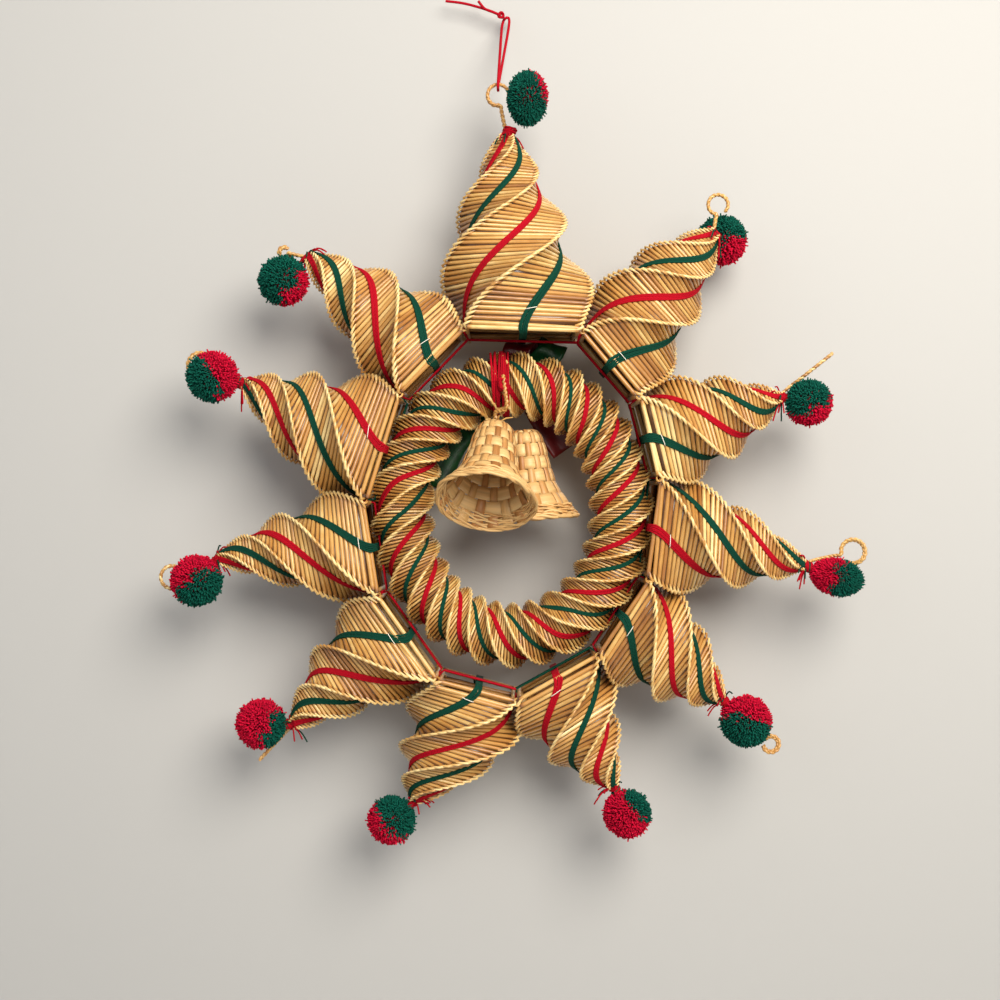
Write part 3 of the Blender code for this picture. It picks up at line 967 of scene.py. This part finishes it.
def make_pompom(index, materials):
    """A ball of cut yarn ends, part red and part green, round a dark core of painted shade, with painted
    shade at the tufts' roots.
    """
    centre, radius = pompom_place(index)
    clock, threshold = GREEN_SIDES[index]
    angle = math.radians(clock)
    pole = Vector((math.sin(angle), -0.25, math.cos(angle))).normalized()
    works = {"red": Work(), "green": Work()}
    outward = pompom_outward(index)
    longer = LONG_POMPOMS.get(index, 1) - 1

    def place(way, reach):
        spot = way * reach
        return centre + spot + outward * spot.dot(outward) * longer

    # painted shade: a dark ball deep inside, seen between the tufts
    shade_core = bmesh.ops.create_icosphere(works["red"].bm, subdivisions=3, radius=1.0)
    for vert in shade_core["verts"]:
        vert.co = place(vert.co.normalized(), radius * CORE_REACH)
        vert[works["red"].tone] = 0.12
    golden = math.pi * (3 - math.sqrt(5))
    wave = chance.uniform(0, 6.28)
    for k in range(POMPOM_TUFTS):
        height = 1 - 2 * (k + 0.5) / POMPOM_TUFTS
        flat = math.sqrt(1 - height * height)
        way = Vector((flat * math.cos(golden * k), height, flat * math.sin(golden * k)))
        way += Vector([chance.gauss(0, 0.04) for _ in range(3)])
        way.normalize()
        ripple = 0.12 * math.sin(4 * way.x + 5 * way.z + wave) + chance.gauss(0, 0.10)
        colour = "green" if way.dot(pole) + ripple > threshold else "red"
        reach = radius * chance.gauss(TUFT_REACH, TUFT_UNEVEN)
        if chance.random() < STRAY_TUFTS:
            reach = radius * chance.uniform(*STRAY_REACH)
        bend = Vector([chance.gauss(0, 0.05) for _ in range(3)]) * radius
        path = [place(way, radius * TUFT_ROOT), place(way, reach) + bend]
        side = Vector((way.y, -way.x, 0.3))
        size = radius * TUFT_RADIUS
        shade = chance.uniform(0.55, 1.0)
        # painted shade: each tuft darker at its root, deep in the ball
        works[colour].strand(path, [size, size * 0.9], side, [0.25, shade], 3)
    node = f"pompom_{index + 1:02d}"
    for colour, work in works.items():
        work.finish(f"{node}_{colour}", materials[colour + "_tuft"], "pompom_yarn", [node])


# Bells

BELL_WARPS = 18
BELL_ROWS = 7
RIM_START = 0.86  # share of the bell's side where the twined rim begins
WEAVE_LIFT = 0.00055  # how far a splint rises over the one it crosses
SPLINT_THICKNESS = 0.00035
RIM_ROWS = 5
TWINE_RADIUS = 0.00082
LIP_RADIUS = 0.0011  # of the twine in the last row of the rim
TIE_YARN_RADIUS = 0.0008
CROWN_STRAWS = 14  # loose straw ends at the bells' crowns


def bell_profile():
    """The bell's side as even steps from the crown's middle to the lip, in its own X and Z."""
    points = [
        Vector((0.0025, 0, 0.0)),
        Vector((BELL_CROWN_RADIUS * 0.75, 0, -0.0012)),
        Vector((BELL_CROWN_RADIUS, 0, -0.006)),
        Vector((BELL_CROWN_RADIUS * 1.2, 0, -BELL_LENGTH * 0.30)),
        Vector((BELL_CROWN_RADIUS * 1.45, 0, -BELL_LENGTH * 0.58)),
        Vector((BELL_MOUTH_RADIUS * 0.76, 0, -BELL_LENGTH * 0.79)),
        Vector((BELL_MOUTH_RADIUS * 0.91, 0, -BELL_LENGTH * 0.92)),
        Vector((BELL_MOUTH_RADIUS * 0.985, 0, -BELL_LENGTH * 0.99)),
    ]
    curve = smooth_path(points, 12)
    lengths = [0.0]
    for before, after in zip(curve, curve[1:]):
        lengths.append(lengths[-1] + (after - before).length)
    even = []
    steps = 120
    k = 0
    for step in range(steps + 1):
        goal = lengths[-1] * step / steps
        while k < len(curve) - 2 and lengths[k + 1] < goal:
            k += 1
        share = (goal - lengths[k]) / (lengths[k + 1] - lengths[k])
        even.append(curve[k].lerp(curve[k + 1], share))
    return even


def bell_point(profile, share, angle, lift):
    """A place on the bell: share of the side from the crown, angle round it, lift off the surface."""
    place = min(max(share, 0.0), 1.0) * (len(profile) - 1)
    k = min(int(place), len(profile) - 2)
    point = profile[k].lerp(profile[k + 1], place - k)
    slope = (profile[k + 1] - profile[k]).normalized()
    out = Vector((-slope.z, 0, slope.x))
    point = point + out * lift
    return Vector((point.x * math.cos(angle), point.x * math.sin(angle), point.z))


def bell_places():
    """Crown top and direction of the mouth of the two bells."""
    crown_line = -RING_DROP - RING_SAG + ring_axes()[1] - RING_RIDGE
    front = (Vector((-0.007, MID_PLANE - 0.0148, crown_line - 0.008)), Vector((-0.10, -0.55, -0.79)))
    rear = (Vector((0.0115, MID_PLANE + 0.0065, crown_line - 0.009)), Vector((0.09, -0.02, -0.97)))
    return {"bell_front": front, "bell_rear": rear}


def flat_wave(value):
    """A wave with flat tops, as a stiff splint goes over and under."""
    wave = math.cos(value)
    return math.copysign(abs(wave) ** 0.6, wave)


def make_bell(name, materials):
    """One bell: flat splints woven over and under, and a rim of twined rounds."""
    crown, heading = bell_places()[name]
    profile = bell_profile()
    work = Work()
    row_share = RIM_START / BELL_ROWS
    inner = WEAVE_LIFT * 1.4
    for row in range(BELL_ROWS):
        sign = 1 if row % 2 else -1
        shade = chance.uniform(0.72, 1.0)
        steps = BELL_WARPS * 6
        across = 3
        made = work.grid(steps, across)
        for j in range(across + 1):
            edge = j / across
            share = (row + 0.03 + 0.94 * edge) * row_share
            crown_drop = -0.00018 if j in (0, across) else 0.0
            for s, angle in enumerate(full_turn(steps)):
                wave = sign * flat_wave(angle * BELL_WARPS / 2)
                vert = made[j * (steps + 1) + s]
                vert.co = bell_point(profile, share, angle, WEAVE_LIFT * wave + crown_drop - inner)
                vert[work.tone] = shade + 0.06 * math.sin(3 * angle + row)
                vert[work.grain] = (0.01 * angle + row, edge * 0.006, 0.0)
                if s == steps:
                    work.seams[vert] = made[j * (steps + 1)]
    for warp in range(BELL_WARPS):
        sign = -1 if warp % 2 else 1
        middle = 2 * math.pi * warp / BELL_WARPS
        shade = chance.uniform(0.15, 0.58)
        steps = BELL_ROWS * 6 + 8
        across = 2
        half = math.pi / BELL_WARPS * 0.70
        made = work.grid(across, steps)
        for k in range(steps + 1):
            share = (RIM_START + 0.12) * k / steps
            wave = sign * flat_wave(math.pi * (share / row_share - 0.5))
            for j in range(across + 1):
                angle = middle + half * (j / across * 2 - 1)
                drop = -0.00012 if j in (0, across) else 0.0
                vert = made[k * (across + 1) + j]
                vert.co = bell_point(profile, share, angle, WEAVE_LIFT * wave + drop - inner)
                vert[work.tone] = shade + 0.12 * math.sin(9 * share + 2 * warp)
                vert[work.grain] = (0.06 * share + warp, 0.004 * j, 0.0)
    bmesh.ops.weld_verts(work.bm, targetmap=work.seams)
    work.seams = {}
    bmesh.ops.recalc_face_normals(work.bm, faces=work.bm.faces)
    bmesh.ops.solidify(work.bm, geom=work.bm.faces[:], thickness=SPLINT_THICKNESS)
    for face in work.bm.faces:
        face.smooth = True
    twine = Work()
    for row in range(RIM_ROWS):
        share = RIM_START + 0.01 + (0.985 - RIM_START) * row / (RIM_ROWS - 1)
        for ply in range(2):
            path = []
            shift = chance.uniform(0, 6.28)
            for angle in full_turn(BELL_WARPS * 8):
                phase = angle * BELL_WARPS * 0.5 + math.pi * ply + row * 1.3
                lift = 0.00062 * math.cos(phase) - 0.0006
                rise = 0.012 * math.sin(phase) + 0.009 * math.sin(2 * angle + shift)
                lift += 0.0005 * math.sin(5 * angle + 2 * shift)
                path.append(bell_point(profile, share + rise, angle, lift))
            size = TWINE_RADIUS if row < RIM_ROWS - 1 else LIP_RADIUS
            twine.strand(path, size, Vector((0, 0, 1)), chance.uniform(0.55, 0.95), 6, 0.8)
    twine.close()
    rim = bpy.data.meshes.new(name + "_rim")
    twine.bm.to_mesh(rim)
    twine.bm.free()
    work.bm.from_mesh(rim)
    bpy.data.meshes.remove(rim)
    turn = Vector((0, 0, -1)).rotation_difference(heading.normalized())
    bmesh.ops.rotate(work.bm, verts=work.bm.verts, cent=(0, 0, 0), matrix=turn.to_matrix())
    bmesh.ops.translate(work.bm, verts=work.bm.verts, vec=crown)
    work.finish(name + "_weave", materials["splint"], "woven_splint", [name], close=False)


def make_bell_tie(materials):
    """Red yarn wound round the ring's top, a straw plait down its front, and a knot on the crowns."""
    crown, _ = bell_places()["bell_front"]
    top = ring_centre() + Vector((-0.008, 0, ring_axes()[1]))
    yarn = Work()
    for wrap in range(9):
        path = []
        lean = chance.uniform(-0.002, 0.002)
        shift = (wrap - 4) * 0.00135
        for angle in full_turn(24):
            size = 0.0222 + 0.0006 * math.sin(3 * angle + wrap)
            spot = (shift + lean * math.sin(angle), -size * math.cos(angle), size * math.sin(angle))
            path.append(top + Vector(spot))
        yarn.strand(path, TIE_YARN_RADIUS, Vector((1, 0, 0)), chance.uniform(0.5, 1.0), 6)
    knot = Vector((top.x + 0.002, top.y - 0.0238, top.z - 0.002))
    for loop in range(7):
        lean = chance.uniform(-1.2, 1.2)
        size = chance.uniform(0.0028, 0.0046)
        path = []
        for angle in full_turn(16):
            right = size * math.cos(angle) * math.cos(lean)
            forth = -0.0012 + 0.0016 * math.sin(2 * angle + loop)
            up = size * (math.sin(angle) + 0.5 * math.cos(angle) * math.sin(lean))
            path.append(knot + Vector((right, forth, up)))
        yarn.strand(path, TIE_YARN_RADIUS, Vector((0, 1, 0)), chance.uniform(0.5, 1.0), 6)
    yarn.finish("bell_tie_yarn", materials["red"], "red_yarn", ["bell_tie"])
    straw = Work()
    hang = [
        knot + Vector((0.0, -0.001, 0.006)),
        knot + Vector((0.0015, -0.002, -0.006)),
        knot + Vector((0.002, 0.001, -0.016)),
        Vector((crown.x, crown.y - 0.002, crown.z + 0.010)),
        crown + Vector((0, 0, 0.0005)),
    ]
    for path in plait_strands(smooth_path(hang, 8), 0.0014, 0.009):
        straw.strand(path, 0.0010, Vector((1, 0, 0)), straw_tone(), 6)
    for _ in range(CROWN_STRAWS):
        way = Vector((chance.uniform(-1, 1), chance.uniform(-0.6, 0.2), chance.uniform(-0.6, 0.8)))
        way = way.normalized() * chance.uniform(0.005, 0.011)
        start = crown + Vector((chance.uniform(-0.002, 0.004), -0.001, 0.003))
        path = [start, start + way * 0.5 + Vector((0, -0.001, 0.001)), start + way]
        straw.strand(path, [0.0007, 0.0006, 0.0004], Vector((0, 1, 0)), straw_tone(), 5)
    for loop in range(5):
        size = chance.uniform(0.003, 0.0045)
        tilt = chance.uniform(0, 3.14)
        path = []
        for angle in full_turn(12):
            out = size * math.cos(angle)
            spot = (out * math.cos(tilt), out * math.sin(tilt), 0.003 + 0.0022 * math.sin(angle))
            path.append(crown + Vector(spot))
        straw.strand(path, 0.0007, Vector((0, 0.2, 1)), straw_tone(), 5)
    straw.finish("bell_tie_straw", materials["straw"], "straw", ["bell_tie"])


# The ribbon bow


def make_ribbon(name, points, finish, slot, nodes):
    """A satin ribbon along places, each with its direction across; edges curl slightly."""
    places = smooth_path([Vector(p) for p, _ in points], 8)
    across = smooth_path([Vector(a).normalized() for _, a in points], 8)
    work = Work()
    width_steps = 8
    made = work.grid(width_steps, len(places) - 1)
    along = 0.0
    for k, place in enumerate(places):
        if k:
            along += (place - places[k - 1]).length
        before = places[max(k - 1, 0)]
        after = places[min(k + 1, len(places) - 1)]
        tangent = (after - before).normalized()
        side = (across[k] - tangent * across[k].dot(tangent)).normalized()
        face = tangent.cross(side)
        for j in range(width_steps + 1):
            w = j / width_steps - 0.5
            ripple = 0.0008 * math.sin(6 * w + 40 * along) + 0.0016 * w * w
            vert = made[k * (width_steps + 1) + j]
            vert.co = place + side * (w * RIBBON_WIDTH) + face * ripple
            vert[work.tone] = 0.5
            vert[work.grain] = (along, w * RIBBON_WIDTH, 0.0)
    for face in work.bm.faces:
        face.smooth = True
    made = work.finish(name, finish, slot, nodes, close=False)
    thick = made.modifiers.new("Thickness", "SOLIDIFY")
    thick.thickness = 0.0003
    thick.offset = 0.0


def make_ribbons(materials):
    """The bow's two ribbons: each a loop above the ring and a tail that hangs behind it."""
    top = ring_centre() + Vector((0, 0, ring_axes()[1]))
    behind = MID_PLANE + RING_RIDGE + RIBBON_GAP

    def near(right, up, forward=0.0):
        return (top.x + right, behind - forward, top.z + up)

    red = (
        (near(0.004, 0.010), (1, 0, 0.1)),
        (near(0.003, 0.024, 0.010), (1, 0, 0)),
        (near(0.008, 0.031, 0.004), (1, 0, 0)),
        (near(0.010, 0.026, -0.003), (1, 0, 0)),
        (near(0.008, 0.010, -0.001), (1, 0, 0)),
        (near(0.016, -0.010), (1, 0, 0.45)),
        (near(0.027, -0.030), (1, 0, 0.5)),
        (near(0.038, -0.046), (1, 0.1, 0.5)),
    )
    make_ribbon("ribbon_red_satin", red, materials["red_satin"], "red_ribbon", ["ribbon_red"])
    green = (
        (near(0.012, 0.010, -0.003), (1, 0, -0.5)),
        (near(0.026, 0.022, 0.008), (1, 0, -0.5)),
        (near(0.031, 0.031, 0.004), (1, 0, -0.4)),
        (near(0.027, 0.028, -0.005), (1, 0, -0.6)),
        (near(0.014, 0.008, -0.006), (1, 0, -0.9)),
        (near(-0.006, -0.008, -0.004), (0.7, 0, -1)),
        (near(-0.026, -0.022, -0.003), (0.7, 0, -1)),
        (near(-0.042, -0.042, -0.003), (1, 0.2, -0.7)),
        (near(-0.055, -0.072, -0.003), (1, 0.1, -0.4)),
    )
    make_ribbon("ribbon_green_satin", green, materials["green_satin"], "green_ribbon", ["ribbon_green"])


# The hanger


def hang_cord(name, path, side, tone, materials):
    """A limp strand of the hanger's yarn along the path."""
    work = Work()
    work.strand(path, STRAND_RADIUS, Vector(side), tone, 8)
    made = work.finish(name, materials["red"], "red_yarn", ["hanger_yarn"])


def make_hanger(materials):
    """The yarn loop from the top plait up over the nail and back, and its loose tail."""
    reach, clock, loop_radius = PLAITS[0]
    loop = clock_point(reach, clock)
    crossing = loop + Vector((0, 0, loop_radius))
    room = 1.3 * (PLAIT_RADIUS + YARN_RADIUS + BALL_GAP)
    nail = Vector((0, -NAIL_ROOM * 2, -NAIL_ROOM))
    under = crossing - Vector((0, 0, room))
    behind = crossing + Vector((0, room, 0))
    before = crossing - Vector((0, room, 0))
    points = [
        under,
        before,
        nail.lerp(before, 0.5) + Vector((-NAIL_ROOM / 2, -room * 0.8, 0)),
        nail + Vector((-NAIL_ROOM, -0.0005, -NAIL_ROOM)),
        nail + Vector((0, -0.001, NAIL_ROOM)),
        nail + Vector((NAIL_ROOM, 0, 0)),
        nail.lerp(behind, 0.5) + Vector((NAIL_ROOM / 2, room * 0.8, 0)),
        behind,
    ]
    hang_cord("hanger_loop", smooth_path(points, 6), (1, 0, 0), 0.9, materials)
    knot = nail + Vector((-0.0035, -0.0040, NAIL_ROOM + 0.001))
    spots = ((-0.010, 0, 0.004), (-0.026, 0, 0.0085), (-0.0405, 0, 0.0105))
    tail = [knot + Vector(spot) for spot in spots]
    hang_cord("hanger_tail", smooth_path([knot, *tail], 6), (0, 1, 0), 0.8, materials)
    work = Work()
    spots = ((-0.006, -0.0012, 0.0020), (-0.012, -0.0014, 0.0045), (-0.0165, -0.0010, 0.0100))
    end = smooth_path([knot] + [knot + Vector(spot) for spot in spots], 6)
    work.strand(end, STRAND_RADIUS, Vector((0, 1, 0)), 0.8, 8)
    for loop in range(3):
        path = []
        for angle in full_turn(12):
            spot = Vector((math.cos(angle), 0.5 * math.sin(2 * angle + loop), math.sin(angle)))
            path.append(knot + spot * (0.0015 + 0.0003 * loop))
        work.strand(path, STRAND_RADIUS * 0.8, Vector((0, 1, 0)), 0.8, 6)
    work.finish("hanger_knot", materials["red"], "red_yarn", ["hanger_yarn"])


# Camera, light and room


CAMERA_PLACE = (-0.0042, MID_PLANE - 0.95, -0.3535)
LENS = 48.86
LIGHTS = (
    ("key", (0.46, -1.22, 0.30), 1.05, 34.0, (1.0, 0.94, 0.84)),
    ("fill", (-1.3, -1.4, 0.2), 1.6, 4.0, (0.93, 0.96, 1.0)),
    ("back", (0.6, 1.6, 0.3), 1.2, 10.0, (1.0, 0.98, 0.95)),
)
LIT_PLACE = (0.0, MID_PLANE, -0.34)


def make_camera():
    data = bpy.data.cameras.new("camera")
    data.lens = LENS
    data.sensor_width = 36.0
    data.clip_start = 0.01
    camera = bpy.data.objects.new("camera", data)
    camera.location = CAMERA_PLACE
    camera.rotation_euler = (math.radians(90), 0, 0)
    bpy.context.scene.collection.objects.link(camera)
    bpy.context.scene.camera = camera


def add_light(name, place, size, energy, colour):
    data = bpy.data.lights.new(name, "AREA")
    data.shape = "DISK"
    data.size = size
    data.energy = energy
    data.color = colour
    light = bpy.data.objects.new(name, data)
    light.location = place
    light.rotation_euler = (Vector(LIT_PLACE) - Vector(place)).to_track_quat("-Z", "Y").to_euler()
    bpy.context.scene.collection.objects.link(light)


def plain_plane(name, size, matrix, colour, see_through_back):
    """A plain square of the room; one that is see-through from behind hides nothing there."""
    bm = bmesh.new()
    bmesh.ops.create_grid(bm, x_segments=1, y_segments=1, size=size / 2, matrix=matrix)
    mesh = bpy.data.meshes.new(name)
    bm.to_mesh(mesh)
    bm.free()
    finish, tree, shader = start_material(name)
    shader.inputs["Base Color"].default_value = (*colour, 1.0)
    shader.inputs["Roughness"].default_value = 0.8
    if see_through_back:
        clear = add_node(tree, "ShaderNodeBsdfTransparent")
        sight = add_node(tree, "ShaderNodeNewGeometry")
        mix = add_node(tree, "ShaderNodeMixShader", {0: sight.outputs["Backfacing"]})
        tree.links.new(shader.outputs[0], mix.inputs[1])
        tree.links.new(clear.outputs[0], mix.inputs[2])
        tree.links.new(mix.outputs[0], tree.nodes["Material Output"].inputs["Surface"])
    mesh.materials.append(finish)
    made = bpy.data.objects.new(name, mesh)
    bpy.context.scene.collection.objects.link(made)
    return made


def make_room():
    turn = Matrix.Rotation(math.radians(90), 4, "X")
    behind = Matrix.Translation((0, 0.004, 0)) @ turn
    wall = plain_plane("backdrop", 6.0, behind, (0.44, 0.437, 0.430), True)
    wall.visible_shadow = False
    plain_plane("floor", 12.0, Matrix.Translation((0, 0, -1.4)), (0.72, 0.71, 0.68), False)
    for light in LIGHTS:
        add_light(*light)
    world = bpy.data.worlds.new("world")
    world.use_nodes = True
    background = world.node_tree.nodes["Background"]
    background.inputs["Color"].default_value = (0.95, 0.97, 1.0, 1.0)
    background.inputs["Strength"].default_value = 0.42
    scene = bpy.context.scene
    scene.world = world
    scene.view_settings.view_transform = "Standard"


def main():
    make_camera()
    materials = make_materials()
    make_hanger(materials)
    for index in range(len(CONES)):
        make_cone(index, materials)
        make_pompom(index, materials)
    make_ring(materials)
    bands = {"red": Work(), "green": Work()}
    stitches = Work()
    ties = Work()
    for index in range(len(CONES)):
        lay_bands(index, bands)
        lay_tip_wraps(index, bands)
        lay_stitches(index, stitches, ties)
    lay_ring_bands(bands)
    bands["red"].finish("bands_red", materials["red"], "red_yarn")
    bands["green"].finish("bands_green", materials["green"])
    stitches.finish("stitches", materials["thread"])
    ties.finish("corner_ties", materials["straw"])
    for name in bell_places():
        make_bell(name, materials)
    make_bell_tie(materials)
    make_ribbons(materials)
    make_room()


main()
